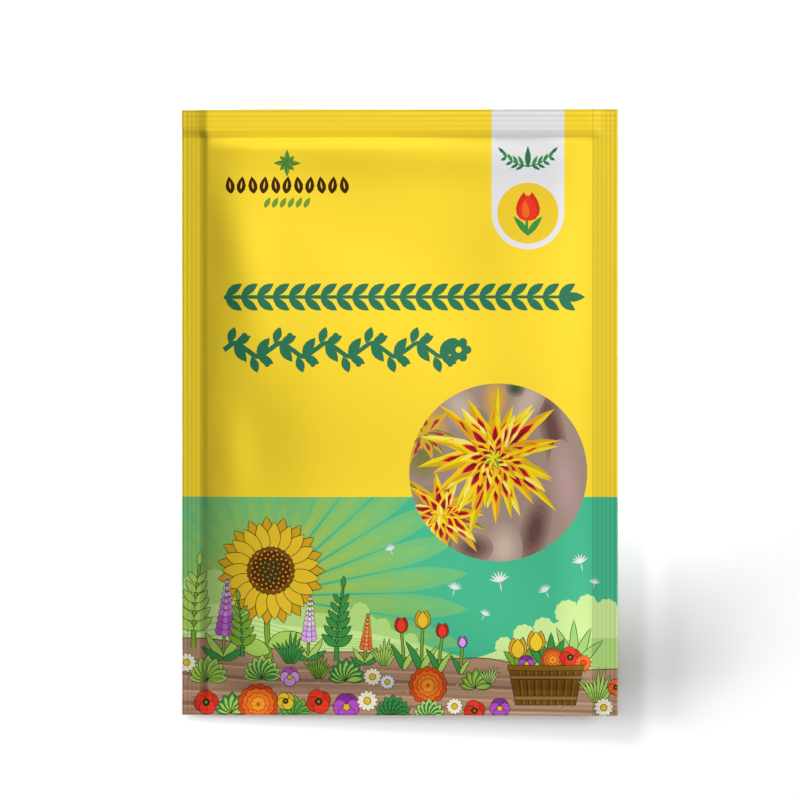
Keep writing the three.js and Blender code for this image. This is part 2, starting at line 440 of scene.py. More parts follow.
def spire(x, y, height, ink, tip_ink, lean=0):
    draw(MID_LEAF, stem, [(x, y), (x + lean * 0.4, y + height * 0.5), (x + lean, y + height)], 0.5, 0.3)
    for way in (-1, 1):
        for ink_here, rise, long, wide, turn, bend in (
                (LIGHT_LEAF, 0.05, 0.36, 0.09, 48, 0.2),
                (DEEP_LEAF, 0.02, 0.3, 0.08, 75, 0.25)):
            draw(ink_here, leaf, x, y + height * rise, height * long, height * wide, 90 - turn * way,
                 bend=bend * way)
    rows = 9
    thin = LINE * 0.8
    for k in range(rows):
        share = k / (rows - 1)
        level = y + height * (0.36 + 0.6 * share)
        middle = x + lean * (0.36 + 0.6 * share)
        half = height * 0.085 * (1 - 0.72 * share)
        tone = mix(ink, tip_ink, round(share * 2) / 2)
        for way in (-1, 1):
            draw(tone, ellipse, middle + way * half * 0.75, level, half * 0.62, half * 0.5 + 0.15, way * 35,
                 grow=thin)
        draw(mix(tone, WHITE, 0.25), ellipse, middle, level - half * 0.25, half * 0.5, half * 0.45 + 0.15,
             grow=thin)


def tulip(x, y, height, ink, shade, lean=0):
    top = y + height
    draw(MID_LEAF, stem, [(x, y), (x + lean * 0.3, y + height * 0.5), (x + lean, top)], 0.55, 0.45)
    draw(DEEP_LEAF, leaf, x, y, height * 0.75, height * 0.15, 107, bend=0.18, belly=0.35)
    draw(LIGHT_LEAF, leaf, x, y, height * 0.66, height * 0.14, 70, bend=-0.22, belly=0.35)
    tulip_cup(x + lean, top, height * 0.36, ink, shade)


def tulip_cup(x, y, size, ink, shade):
    foot = y - size * 0.1
    for way in (-1, 1):
        draw(shade, leaf, x, foot, size * 1.06, size * 0.62, 90 - way * 24, bend=0.2 * way)
    draw(ink, leaf, x, foot, size, size * 0.66, 90)


def daisy(x, y, radius, ink=CREAM, heart=GOLD):
    petals = 12
    draw(ink, scallop, x, y, radius, petals, 0.4, 7)
    draw(heart, ellipse, x, y, radius * 0.32)


def marigold(x, y, radius, turn=0):
    draw(DEEP_ORANGE, scallop, x, y, radius, 13, 0.14, turn)
    for ink, reach, lobes, depth, start in (
            (ORANGE, 0.8, 12, 0.17, 9),
            (mix(ORANGE, AMBER, 0.35), 0.58, 10, 0.2, 4),
            (AMBER, 0.36, 8, 0.24, 0)):
        draw(ink, scallop, x, y, radius * reach, lobes, depth, turn + start, grow=LINE * 0.8)
    paint(DEEP_ORANGE, ellipse(x, y, radius * 0.1))


def poppy(x, y, radius, turn=0, ink=RED, shade=DEEP_RED):
    for k in range(4):
        angle = turn + 90 * k
        tone = ink if k % 2 else mix(ink, shade, 0.4)
        middle = polar(x, y, radius * 0.42, angle)
        draw(tone, ellipse, *middle, radius * 0.62, radius * 0.54, angle + 90)
    draw(SEED_BROWN, scallop, x, y, radius * 0.27, 9, 0.2, turn)
    paint(LEAF_GREEN, ellipse(x, y, radius * 0.12))


def pansy(x, y, radius, ink=PURPLE, shade=DEEP_PURPLE):
    for angle, tone in ((60, shade), (120, shade), (190, ink), (-10, ink), (-90, ink)):
        middle = polar(x, y, radius * 0.46, angle)
        draw(tone, ellipse, *middle, radius * 0.56, radius * 0.48, angle + 90)
    draw(GOLD, scallop, x, y - radius * 0.05, radius * 0.25, 5, 0.3, -90)


def hosta(x, y, radius, leaves, ink, edge):
    for k in range(leaves):
        share = (k + 0.5) / leaves * 2 - 1
        long = radius * (1.05 - 0.25 * abs(share))
        turn = 90 - 88 * share
        draw(edge, leaf, x, y, long, long * 0.42, turn, bend=-0.1 * share, belly=0.55)
        paint(ink, leaf(x, y, long * 0.86, long * 0.27, turn, bend=-0.1 * share, belly=0.52))


def sunflower(x, y, radius):
    petals = 19
    near = radius * 0.3
    for layer, (reach, ink) in enumerate(((1.0, DEEP_GOLD), (0.9, GOLD))):
        for k in range(petals):
            angle = (k + 0.5 * layer) * 360 / petals
            root = polar(x, y, near, angle)
            draw(ink, leaf, *root, radius * reach - near, radius * 0.25, angle, belly=0.5)
    draw(BARK, scallop, x, y, radius * 0.44, 26, 0.08)
    paint(DARK_BARK, ellipse(x, y, radius * 0.36))
    dots = 70
    dot_turn = 137.5
    for k in range(dots):
        away = radius * 0.4 * math.sqrt((k + 0.5) / dots)
        dot = ellipse(*polar(x, y, away, dot_turn * k), radius * 0.017)
        paint(AMBER if away > radius * 0.2 else LEAF_GREEN, dot)


# The front print
HORIZON = -19.3
TAB_LEFT, TAB_RIGHT, TAB_Y = 21.1, 37.7, 45.7
TAB_X = (TAB_LEFT + TAB_RIGHT) / 2
ROUND_X, ROUND_Y, ROUND_RADIUS = 22.6, -13.7, 20.4


def print_fields():
    paint(YELLOW, rectangle(-WIDTH / 2, -LENGTH / 2, WIDTH / 2, LENGTH / 2))
    return paint(TEAL, rectangle(-WIDTH / 2, -LENGTH / 2, WIDTH / 2, HORIZON))


def print_tab():
    radius = (TAB_RIGHT - TAB_LEFT) / 2
    paint(WHITE, rectangle(TAB_LEFT, TAB_Y, TAB_RIGHT, LENGTH / 2 + 1))
    paint(WHITE, ellipse(TAB_X, TAB_Y, radius))
    for way in (-1, 1):
        path = [(TAB_X, 56.4), (TAB_X + way * 3, 57.3), (TAB_X + way * 5.6, 59.6)]
        paint(GROUND_GREEN, stem(path, 0.35, 0.2))
        for k in range(4):
            x = TAB_X + way * (1.0 + 1.3 * k)
            y = 56.6 + 0.16 * k ** 2 + 0.15 * k
            paint(DEEP_LEAF, leaf(x, y, 2.6 - 0.25 * k, 0.85, 90 - way * 28))
            paint(GROUND_GREEN, leaf(x, y, 2.1 - 0.2 * k, 0.75, 90 - way * 118))
        paint(GROUND_GREEN, leaf(TAB_X + way * 5.4, 59.4, 2, 0.8, 90 - way * 45))
    paint(GROUND_GREEN, leaf(TAB_X, 56.3, 4.8, 1.4, 90))
    paint(mix(YELLOW, GOLD, 0.5), ellipse(TAB_X, TAB_Y, 7.0))
    paint(DEEP_LEAF, stem([(TAB_X, 40.6), (TAB_X - 0.3, 43), (TAB_X, 45.5)], 0.7, 0.55))
    for way in (-1, 1):
        paint(DEEP_LEAF, leaf(TAB_X, 40.7, 5.4, 1.5, 90 - way * 32, bend=-0.1 * way))
    petal = mix(RED, DEEP_RED, 0.35)
    for way in (-1, 1):
        paint(petal, leaf(TAB_X, 44.0, 6.4, 4.1, 90 - way * 22, bend=0.25 * way, belly=0.38))
    paint(RED, leaf(TAB_X, 44.0, 5.9, 4.3, 90, belly=0.36))
    paint(ORANGE, leaf(TAB_X - 0.4, 44.6, 4.1, 1.7, 94, belly=0.36))


def leaf_border(left, right, y, height, pitch):
    count = round((right - left - height * 0.75) / pitch)
    paint(GROUND_GREEN, stem([(left, y), (right - height * 0.6, y)], height * 0.13, height * 0.1))
    long, wide = height * 0.72, height * 0.3
    for k in range(count):
        x = left + 0.3 + (right - left - height * 0.95) * k / (count - 1)
        for way in (-1, 1):
            paint(GROUND_GREEN, leaf(x, y, long, wide, way * 47, bend=-0.16 * way, belly=0.52))
    paint(GROUND_GREEN, leaf(right - height * 0.78, y, height * 0.78, height * 0.34, 0, belly=0.45))


def vine_border(left, right, y, height, waves):
    step = (right - left - height * 0.5) / waves
    swing = height * 0.2
    path = [(left + step * k / 4, y + swing * math.sin(math.pi * k / 2)) for k in range(4 * waves + 1)]
    paint(GROUND_GREEN, stem(path, height * 0.15, height * 0.12))
    for k in range(2 * waves):
        way = 1 if k % 2 == 0 else -1
        x = left + step * (k + 0.5) / 2
        crest = y + swing * way
        for back, long, wide, turn, bend in (
                (0.14, 0.5, 0.27, 70, 0), (0, 0.5, 0.27, 24, 0), (0.02, 0.66, 0.3, -62, 0.1)):
            shape = leaf(x - step * back, crest, height * long, height * wide, way * turn, bend * way, 0.5)
            paint(GROUND_GREEN, shape)
        paint(GROUND_GREEN, ellipse(x + step * 0.2, y + way * height * 0.42, height * 0.085))
    paint(GROUND_GREEN, scallop(right - height * 0.32, y, height * 0.38, 6, 0.4))
    paint(YELLOW, ellipse(right - height * 0.32, y, height * 0.09))


def print_ornaments():
    leaf_border(-40.3, 42.5, 26.5, 6.8, 3.55)
    vine_border(-40.3, 16.0, 14.4, 7.8, 5)
    for k in range(8):
        reach = 3.1 if k % 2 == 0 else 2.3
        paint(LEAF_GREEN, leaf(-25.8, 57.2, reach, 1.2, 45 * k))
        paint(mix(LEAF_GREEN, DARK_LEAF, 0.5), leaf(-25.8, 57.2, reach, 1.2, 45 * k, side=1))
    for k in range(11):
        x = -38.9 + 2.62 * k
        paint(SEED_BROWN, seed(x, 52.2, 4.0, 2.15, 90 + 8 * (-1) ** k))
        paint(YELLOW, seed(x, 52.2, 1.9, 0.34, 90 + 8 * (-1) ** k))
    for k in range(6):
        paint(LEAF_GREEN, seed(-30.3 + 1.82 * k, 48.2, 2.7, 1.25, 62))


def soft_spot(x, y, across, along, turn, ink, under, within):
    levels = 5
    for k in range(levels):
        reach = 1 - k / (levels + 1)
        paint(mix(under, ink, (k + 1) / levels), ellipse(x, y, across * reach, along * reach, turn), within)


def painted_leaf(x, y, length, width, turn, bend, inks, flame, within):
    ink, shade = inks
    paint(ink, leaf(x, y, length, width, turn, bend, 0.36, 0, 0.12), within)
    paint(shade, leaf(x, y, length, width, turn, bend, 0.36, -1, 0.12), within)
    if flame:
        fringe, light, dark = flame
        for tone, reach, wide, belly, side, wave in (
                (fringe, 0.72, 0.74, 0.5, 0, 0.3),
                (light, 0.68, 0.56, 0.5, 0, 0.3),
                (dark, 0.6, 0.5, 0.46, 1, 0)):
            shape = leaf(x, y, length * reach, width * wide, turn, bend * reach, belly, side, wave)
            paint(tone, shape, within)


def rosette(x, y, whorls, wild, within):
    for count, reach, width, inks, flame in whorls:
        start = 360 * wild.random() / count
        for k in range(count):
            turn = start + 360 * k / count + 14 * (wild.random() - 0.5)
            long = reach * (0.78 + 0.3 * wild.random())
            droop = -0.26 * math.cos(math.radians(turn)) + 0.16 * (wild.random() - 0.5)
            painted_leaf(x, y, long, width * (0.85 + 0.3 * wild.random()), turn, droop, inks[k % len(inks)],
                         flame, within)


def print_round_picture():
    disc = paint(TAUPE, ellipse(ROUND_X, ROUND_Y, ROUND_RADIUS))
    dark, pale, rose = (104, 72, 66), (196, 176, 160), (180, 148, 146)
    olive, haze, moss = (128, 124, 66), (222, 168, 70), (70, 84, 62)
    for x, y, across, along, turn, ink in (
            (35, -4, 3.0, 13, 12, dark), (29, 2, 3.4, 9, -30, pale), (38, -16, 3.6, 10, 8, rose),
            (31, -27, 3.4, 9, -14, dark), (24, -31, 4.2, 6, 0, pale), (22, 3, 3.2, 5.5, 0, haze),
            (26.5, 5.6, 2.2, 2.0, 0, moss), (14, 1, 4.2, 6, 30, pale), (7, -3, 4.5, 5, 0, haze),
            (5.5, -10, 4.2, 6, 0, olive), (9, -24, 5.5, 8, 20, olive), (17, -31, 4.5, 3.4, 0, dark),
            (18, -3, 2.6, 4, 0, olive)):
        soft_spot(x, y, across, along, turn, ink, TAUPE, disc)
    wild = random.Random(21)
    bright = ((LEMON, OCHRE), (GOLDEN, DEEP_GOLD), (PALE_LEMON, LEMON))
    muted = ((OCHRE, olive), (haze, OCHRE))
    red_flame = (AMBER, CRIMSON, DARK_CRIMSON)
    far_flame = (haze, mix(CRIMSON, TAUPE, 0.35), mix(CRIMSON, TAUPE, 0.35))
    rosette(5.5, -5, ((9, 7.5, 2.0, muted, far_flame), (7, 4, 1.4, muted, None)), wild, disc)
    rosette(9.5, -23.5, ((13, 11.5, 2.6, muted, far_flame), (12, 9.5, 2.4, bright, red_flame),
                         (9, 5.5, 2.0, bright, red_flame), (7, 3, 1.3, bright, None)), wild, disc)
    rosette(21.5, -10.5, ((14, 17.5, 3.0, bright, red_flame), (15, 14.5, 2.9, bright, red_flame),
                          (13, 11, 2.8, bright, red_flame), (11, 7.5, 2.4, bright, red_flame),
                          (9, 4.6, 1.9, bright, red_flame), (7, 2.6, 1.2, ((LEMON, LEAF_GREEN),), None)),
            wild, disc)


def drifting_seed(x, y, size, turn):
    for k in range(7):
        angle = turn + 90 + (k - 3) * 22
        paint(WHITE, leaf(x, y, size, size * 0.16, angle))
    paint(WHITE, leaf(x, y, size * 0.9, size * 0.1, turn - 90))


def print_fan(field):
    for k in range(21):
        turn = -14 + 10.2 * k
        long = 47 if turn < 62 else 33
        for share, fade in ((1, 1), (0.84, 0.66), (0.66, 0.33), (0.48, 0)):
            tone = mix(RAY_NEAR, RAY_FAR, fade)
            paint(tone, leaf(-31, -42, long * share, 5.4 * share ** 1.3, turn, belly=0.72), field)


def treetops(spots, ink, within):
    for x, y, radius, lobes in spots:
        paint(ink, scallop(x, y, radius, lobes, 0.16, 3 * x), within)


def print_hills(field):
    treetops([
        (-47, -39.8, 3, 11), (-42.5, -38.4, 2.6, 10), (-38, -40.8, 2.4, 9), (-22, -46.4, 2.4, 10),
        (-13.5, -46.2, 2.6, 10), (-9, -45.6, 2.2, 9), (-4, -49, 2, 9), (2.5, -52.2, 1.8, 8),
    ], SOFT_GREEN, field)
    crest = [(-52, -41), (-44, -36.8), (-36, -40), (-26, -44.6), (-16, -46), (-9, -45.2), (-2, -49.5)]
    paint(SOFT_GREEN, ground(crest + [(8, -54), (18, -57)]), field)
    near = [(-52, -46), (-40, -44), (-28, -48.5), (-14, -49.5), (0, -52), (14, -56.5), (22, -58)]
    paint(PALE_GREEN, ground(near), field)
    for k in range(5):
        path = [(-52, -48.5 - 1.6 * k), (-38, -46.8 - 1.3 * k), (-22, -50.6 - 0.8 * k)]
        path += [(-4, -52.5 - 0.5 * k), (12, -56.2 - 0.2 * k)]
        paint(mix(PALE_GREEN, MID_LEAF, 0.3), stem(path, 0.5, 0.15), field)
    treetops([
        (24, -53.5, 2.2, 9), (28.5, -51, 2.6, 10), (33, -49.2, 2.4, 9), (38.5, -45.8, 3, 12),
        (43, -44, 2.4, 9), (47.5, -45.4, 2.8, 11),
    ], PALE_GREEN, field)
    paint(PALE_GREEN, ground([(4, -57.5), (16, -56.5), (26, -53), (36, -48), (44, -45), (52, -47)]), field)
    paint(SOFT_GREEN, ground([(10, -58), (24, -56.2), (38, -52.2), (52, -51.5)]), field)


def print_soil(field):
    edge = [(-52, -51.8), (-40, -52.4), (-24, -54.8), (-8, -55), (6, -56.6), (20, -56.4), (34, -59)]
    edge.append((52, -58.8))
    paint(LINE_INK, ground([(x, y + 0.2) for x, y in edge]), field)
    soil = paint(SOIL, ground(edge), field)
    for k in range(4):
        path = [(-52, -56.5 - 3.4 * k), (-26, -58.4 - 2.9 * k), (0, -58.8 - 2.9 * k), (26, -60.6 - 2.5 * k)]
        path.append((52, -61 - 2.6 * k))
        paint(SOIL_SHADE if k % 2 else mix(SOIL, SOIL_SHADE, 0.5), stem(path, 0.9, 0.5), soil)
        paint(SOIL_LIGHT, stem([(x, y - 0.7) for x, y in path], 0.45, 0.3), soil)
    wild = random.Random(4)
    crumbs = 46
    for k in range(crumbs):
        middle = (-49 + 98 * wild.random(), -68.5 + 10.5 * wild.random())
        crumb = ellipse(*middle, 0.18 + 0.3 * wild.random(), 0.16 + 0.14 * wild.random())
        paint(SOIL_LIGHT if k % 2 else SOIL_SHADE, crumb, soil)


def print_tall_plants():
    sprig(-47.5, -54, 19, 6, MID_LEAF, lean=1.5, leaf_ink=LIGHT_LEAF, size=0.27)
    draw(MID_LEAF, stem, [(-29.5, -57.5), (-30.4, -49), (-29.5, -38)], 1.1, 1.0)
    draw(LIGHT_LEAF, leaf, -29.9, -55, 8, 3.8, 156, bend=0.15)
    draw(LIGHT_LEAF, leaf, -30.1, -53.5, 8.4, 3.8, 26, bend=-0.15)
    sunflower(-29.5, -36.2, 12.4)
    spire(-40.5, -57, 19, PURPLE, LILAC, lean=1)
    spire(-21, -57, 15, LILAC, CREAM, lean=0.6)
    sprig(-36, -56, 13, 5, DEEP_LEAF, lean=-1, leaf_ink=MID_LEAF)
    sprig(-14.5, -57, 17, 6, DEEP_LEAF, lean=1.6, leaf_ink=DEEP_LEAF, size=0.25)
    spire(-8, -58, 12, ORANGE, AMBER, lean=0.8)
    grass(-25, -57.5, 8, 9, DEEP_LEAF)
    grass(-3.5, -58, 7, 9, LIGHT_LEAF)
    tulip(1, -59, 9, RED, DEEP_RED, -0.6)
    tulip(5, -59.5, 10.5, GOLD, DEEP_GOLD, 0.3)
    tulip(9, -59.8, 8.6, RED, DEEP_RED, 0.8)
    tulip(14, -60, 6.5, LILAC, PURPLE, 0.4)


def print_middle_row():
    hosta(-44, -61.5, 5.4, 9, MID_LEAF, LIGHT_LEAF)
    daisy(-49, -57.5, 2.2)
    hosta(-31.5, -61, 5.2, 9, DEEP_LEAF, LIGHT_LEAF)
    grass(-18.5, -61, 6.5, 9, MID_LEAF)
    pansy(-25.2, -60.6, 2.3, LILAC, PURPLE)
    hosta(-12.2, -61.5, 5, 9, LIGHT_LEAF, DEEP_LEAF)
    daisy(-6.2, -60.6, 2.1)
    daisy(-2.8, -61.8, 1.7, WHITE)
    hosta(17.5, -63.2, 4.4, 7, LIGHT_LEAF, MID_LEAF)
    marigold(6.5, -62.6, 4.4, 10)
    grass(45.6, -66.5, 9, 9, LIGHT_LEAF)
    grass(20.6, -62, 5, 7, SOFT_GREEN)


# The front row is cut by the edge of the sheet
def print_front_row():
    hosta(-38.5, -69, 4.6, 7, LIGHT_LEAF, DEEP_LEAF)
    poppy(-44.5, -66.6, 2.9, 12)
    marigold(-32.5, -67, 4.7)
    hosta(-24, -70, 4.8, 7, DEEP_LEAF, MID_LEAF)
    poppy(-26.2, -66.3, 2.1, 40, GOLD, DEEP_GOLD)
    poppy(-18.6, -66.4, 2.9, 30)
    pansy(-12.2, -67.5, 3.2)
    daisy(-7.4, -66.2, 2.4)
    hosta(-1.5, -70, 5, 9, DARK_LEAF, DEEP_LEAF)
    hosta(6.8, -70.2, 4.4, 9, DEEP_LEAF, SOFT_GREEN)
    daisy(12.6, -67.4, 1.9)
    poppy(17.2, -68.4, 2.5, 20)
    pansy(23, -67.8, 2.4)
    daisy(46.8, -67.6, 2.2)
    poppy(49.6, -63, 1.9, 25, ORANGE, DEEP_ORANGE)


def print_meadow(field):
    print_fan(field)
    print_hills(field)
    print_soil(field)
    print_tall_plants()
    planter(33.5, -67, 17, 8.6)
    print_middle_row()
    print_front_row()
    for x, y, size, turn in (
            (-2, -31.5, 1.5, 20), (12.5, -40.5, 1.9, -12), (23, -38.8, 2.6, 10), (33.5, -41, 1.8, 28),
            (19.4, -46.4, 1.5, -25), (41.5, -34.5, 2.2, 15), (44.6, -39.2, 1.4, -10)):
        drifting_seed(x, y, size, turn)


def planter(x, y, width, height):
    top = y + height
    foot = 0.8
    tall_leaf = mix(LIGHT_LEAF, HAZE_GREEN, 0.5)
    for away, tall, ink in ((-5.2, 8, MID_LEAF), (6.4, 12, tall_leaf), (1.2, 9, DEEP_LEAF)):
        for share in (-1, -0.5, 0, 0.5, 1):
            draw(ink, leaf, x + away, top - 1, tall * (1 - 0.2 * abs(share)), 2, 90 - 34 * share,
                 bend=-0.16 * share)
    tulip_cup(x - 6.4, top + 2.6, 4.4, GOLD, DEEP_GOLD)
    tulip_cup(x - 2.2, top + 4.2, 4.4, mix(GOLD, YELLOW, 0.5), DEEP_GOLD)
    marigold(x + 1.6, top + 1.8, 2.7)
    poppy(x + 5.6, top + 2.4, 2.5, 15)
    pansy(x - 4.4, top + 1, 1.9)
    daisy(x + 8.6, top + 1, 1.9, ORANGE, DEEP_ORANGE)
    corners = np.array([[-foot / 2, 0], [foot / 2, 0], [0.5, 1], [-0.5, 1]])
    outline = corners * (width, height) + (x, y)
    paint(LINE_INK, outline + LINE * np.sign(corners - (0, 0.5)))
    tub = paint(BARK, outline)
    staves = 9
    for k in range(1, staves):
        for shift, wide, ink in ((0, 0.22, DARK_BARK), (0.03, 0.3, mix(BARK, GOLD, 0.2))):
            across = width * (k / staves - 0.5 + shift)
            paint(ink, stem([(x + foot * across, y - 1), (x + across, top + 1)], wide), tub)
    for level in (0.18, 0.74):
        middle = y + height * level
        for half, ink in ((0.55, DARK_BARK), (0.35, mix(BARK, WHITE, 0.25))):
            paint(ink, rectangle(x - width, middle - half, x + width, middle + half), tub)
    rim = [(x - width * 0.52, top), (x, top - 0.15), (x + width * 0.52, top)]
    draw(mix(BARK, GOLD, 0.15), stem, rim, 1.1)


def front_print():
    art.clear()
    field = print_fields()
    print_ornaments()
    print_tab()
    print_meadow(field)
    print_round_picture()
    return list(art)


# The back print: a blank panel with a keyline over the same fields, and plain pictures
PANEL = {"left": -37, "bottom": -6, "right": 37, "top": 50, "corner": 5}
KEYLINE = 0.5
SPOT_Y = 24


def rounded(left, bottom, right, top, corner, inset=0):
    points = []
    for x, y, start in (
            (right - corner, top - corner, 0),
            (left + corner, top - corner, 90),
            (left + corner, bottom + corner, 180),
            (right - corner, bottom + corner, 270)):
        angles = np.radians(np.linspace(start, start + 90, 12))
        turns = np.stack([np.cos(angles), np.sin(angles)], axis=1)
        points.append(turns * (corner - inset) + (x, y))
    return np.concatenate(points)


def sun_spot(x, y, radius):
    paint(GOLD, scallop(x, y, radius, 12, 0.28))
    paint(YELLOW, ellipse(x, y, radius * 0.55))


def drop_spot(x, y, radius):
    paint(TEAL, leaf(x, y - radius * 0.95, radius * 2.1, radius * 1.35, 90, belly=0.3))
    paint(WHITE, leaf(x - radius * 0.25, y - radius * 0.5, radius * 0.9, radius * 0.2, 100))


def leaf_spot(x, y, radius):
    paint(DEEP_LEAF, seed(x, y, radius * 2.2, radius * 1.1, 58))
    paint(CREAM, seed(x, y, radius * 1.7, radius * 0.12, 58))


def flower_spot(x, y, radius):
    paint(RED, scallop(x, y, radius, 6, 0.4))
    paint(GOLD, ellipse(x, y, radius * 0.3))


def back_print():
    art.clear()
    field = print_fields()
    paint(GROUND_GREEN, rounded(**PANEL))
    paint(CREAM, rounded(**PANEL, inset=KEYLINE))
    leaf_border(-32, 32, 41, 5, 2.9)
    for k, picture in enumerate((sun_spot, drop_spot, leaf_spot, flower_spot)):
        x = -24 + 16 * k
        paint(GROUND_GREEN, ellipse(x, SPOT_Y, 6.2))
        paint(WHITE, ellipse(x, SPOT_Y, 5.8))
        picture(x, SPOT_Y, 3.6)
    for k in range(3):
        paint(SOFT_GREEN, stem([(-28, 8 - 4 * k), (0, 8.4 - 4 * k), (28, 8 - 4 * k)], 0.6))
    paint(SOFT_GREEN, ground([(-52, -42), (-30, -38), (0, -46), (28, -40), (52, -44)]), field)
    paint(PALE_GREEN, ground([(-52, -50), (-20, -45), (10, -51), (52, -46)]), field)
    paint(SOIL, ground([(-52, -56), (-20, -58), (20, -56.5), (52, -58)]), field)
    for k in range(7):
        x = -42 + 14 * k
        if k % 2:
            hosta(x, -62, 6, 9, DEEP_LEAF, LIGHT_LEAF)
        else:
            tulip(x, -61, 11, *((RED, DEEP_RED) if k % 4 else (GOLD, DEEP_GOLD)), 0.5)
            grass(x + 3, -61.5, 5, 7, MID_LEAF)
    return list(art)


# Meshes of the panels: the spacing of their points, and how near a point lies to one or to an
# edge that it is merged with
BELLY_STEP = 1
RIB_STEPS = 5
RIB_CUT = 0.25
PLAIN_SEAL_STEP = 0.5
INSIDE_STEP = 2.5
INSIDE_EDGE = 13
MERGE = 1e-5
SNAP = 1e-4


def span(start, end, step):
    count = max(1, math.ceil(abs(end - start) / step))
    return np.linspace(start, end, count + 1)


def grid_lines(*spans):
    return np.unique(np.round(np.concatenate(spans), 6))


def rib_span(start, end, seal):
    return span(start, end, seal["width"] / seal["ribs"] / RIB_STEPS)


# Lines over the inner face, which stay short of the cut edge
def inside_span(low, high, half):
    edge = half - PLAIN_SEAL_STEP
    return (
        span(-edge, low, PLAIN_SEAL_STEP),
        span(low, low + INSIDE_EDGE, BELLY_STEP),
        span(low + INSIDE_EDGE, high - INSIDE_EDGE, INSIDE_STEP),
        span(high - INSIDE_EDGE, high, BELLY_STEP),
        span(high, edge, PLAIN_SEAL_STEP),
    )


OUTSIDE_GRID = (
    grid_lines(
        rib_span(-WIDTH / 2, -POCKET_X, LEFT_SEAL),
        span(-POCKET_X, POCKET_X, BELLY_STEP),
        rib_span(POCKET_X, WIDTH / 2, RIGHT_SEAL),
    ),
    grid_lines(
        rib_span(-LENGTH / 2, POCKET_BOTTOM, BOTTOM_SEAL),
        span(POCKET_BOTTOM, POCKET_TOP, BELLY_STEP),
        rib_span(POCKET_TOP, LENGTH / 2, TOP_SEAL),
    ),
)
INSIDE_GRID = (
    grid_lines(*inside_span(-POCKET_X, POCKET_X, WIDTH / 2)),
    grid_lines(*inside_span(POCKET_BOTTOM, POCKET_TOP, LENGTH / 2)),
)


def triangulate(points, edges, faces):
    vectors = [Vector(point) for point in np.asarray(points).tolist()]
    corners, _, triangles, _, _, owners = delaunay_2d_cdt(vectors, edges, faces, 0, MERGE, True)
    return np.array([corner[:] for corner in corners]), np.array(triangles), owners


def snapped(points):
    for axis, half in ((0, WIDTH / 2), (1, LENGTH / 2)):
        for edge in (-half, half):
            near = np.abs(points[:, axis] - edge) < SNAP
            points[near, axis] = edge
    return points


def grid_points(grid):
    across, along = np.meshgrid(*grid)
    return np.stack([across.ravel(), along.ravel()], axis=1)


# The shape seen at each place of a flat print: the last one painted there
def flat_print(art):
    points = np.concatenate([outline for _, outline, _ in art])
    ends = np.cumsum([len(outline) for _, outline, _ in art])
    faces = [list(range(end - len(shape[1]), end)) for end, shape in zip(ends, art)]
    corners, triangles, owners = triangulate(points, [], faces)
    seen = []
    for shapes in owners:
        inside = SHEET in shapes
        seen.append(max(s for s in shapes if art[s][2] in shapes) if inside else -1)
    seen = np.array(seen)
    return corners, triangles[seen >= 0], seen[seen >= 0]


def ink_borders(triangles, inks):
    sides = np.concatenate([triangles[:, [0, 1]], triangles[:, [1, 2]], triangles[:, [2, 0]]])
    sides.sort(axis=1)
    tones = np.tile(inks, 3)
    order = np.lexsort((sides[:, 1], sides[:, 0]))
    sides, tones = sides[order], tones[order]
    paired = np.all(sides[1:] == sides[:-1], axis=1)
    return sides[:-1][paired & (tones[1:] != tones[:-1])]


# Cuts the borders that cross a seal's ribs short enough to follow them
def cut_over_ribs(points, borders):
    kept, cuts = [], []
    for a, b in borders.tolist():
        start, end = points[a], points[b]
        over_ribs = in_seal(*(start + end) / 2)
        count = max(1, math.ceil(math.dist(start, end) / RIB_CUT)) if over_ribs else 1
        chain = [a] + [len(points) + len(cuts) + k for k in range(count - 1)] + [b]
        cuts += [start + (end - start) * k / count for k in range(1, count)]
        kept += list(zip(chain, chain[1:]))
    return kept, np.array(cuts).reshape(-1, 2)


def in_seal(x, y):
    return abs(x) > POCKET_X or y > POCKET_TOP or y < POCKET_BOTTOM


def perimeter_order(points):
    x, y = points[:, 0], points[:, 1]
    right, top = x == WIDTH / 2, y == LENGTH / 2
    left, bottom = x == -WIDTH / 2, y == -LENGTH / 2
    place = np.full(len(points), -1.0)
    place[left] = 2 * WIDTH + LENGTH + LENGTH / 2 - y[left]
    place[top] = WIDTH + LENGTH + WIDTH / 2 - x[top]
    place[right] = WIDTH + LENGTH / 2 + y[right]
    place[bottom] = x[bottom] + WIDTH / 2
    rim = np.nonzero(place >= 0)[0]
    return rim[np.argsort(place[rim])]


def printed_face(art):
    corners, triangles, seen = flat_print(art)
    tones = list(dict.fromkeys(ink for ink, _, _ in art))
    tone_of = np.array([tones.index(ink) for ink, _, _ in art])
    borders = ink_borders(triangles, tone_of[seen])
    used, numbers = np.unique(borders, return_inverse=True)
    borders, cuts = cut_over_ribs(corners[used], numbers.reshape(-1, 2))
    grid = grid_points(OUTSIDE_GRID)
    # Lines along the pocket's sides and top, where the painted shade of the seals begins
    zone_ends = [(x, y) for x in (-POCKET_X, POCKET_X) for y in (-LENGTH / 2, LENGTH / 2)]
    zone_ends += [(-WIDTH / 2, POCKET_TOP), (WIDTH / 2, POCKET_TOP)]
    points = snapped(np.concatenate([corners[used], cuts, grid, zone_ends]))
    first = len(points) - len(zone_ends)
    edges = borders + [(end, end + 1) for end in range(first, len(points), 2)]
    flat = BVHTree.FromPolygons([(*corner, 0) for corner in corners.tolist()], triangles.tolist())
    points, triangles, _ = triangulate(points, edges, [])
    points = snapped(points)
    down = Vector((0, 0, -1))
    middles = points[triangles].mean(axis=1)
    hits = [flat.ray_cast(Vector((x, y, 1)), down)[2] for x, y in middles.tolist()]
    inks = [tones[tone_of[seen[hit]]] for hit in hits]
    return points, triangles, [(ink, zone_at(x, y)) for ink, (x, y) in zip(inks, middles.tolist())]


# The zone of a place, which sets how much painted shade its inks get
def zone_at(x, y):
    if abs(x) > POCKET_X:
        return "side_seal"
    return "top_seal" if y > POCKET_TOP else "pocket"


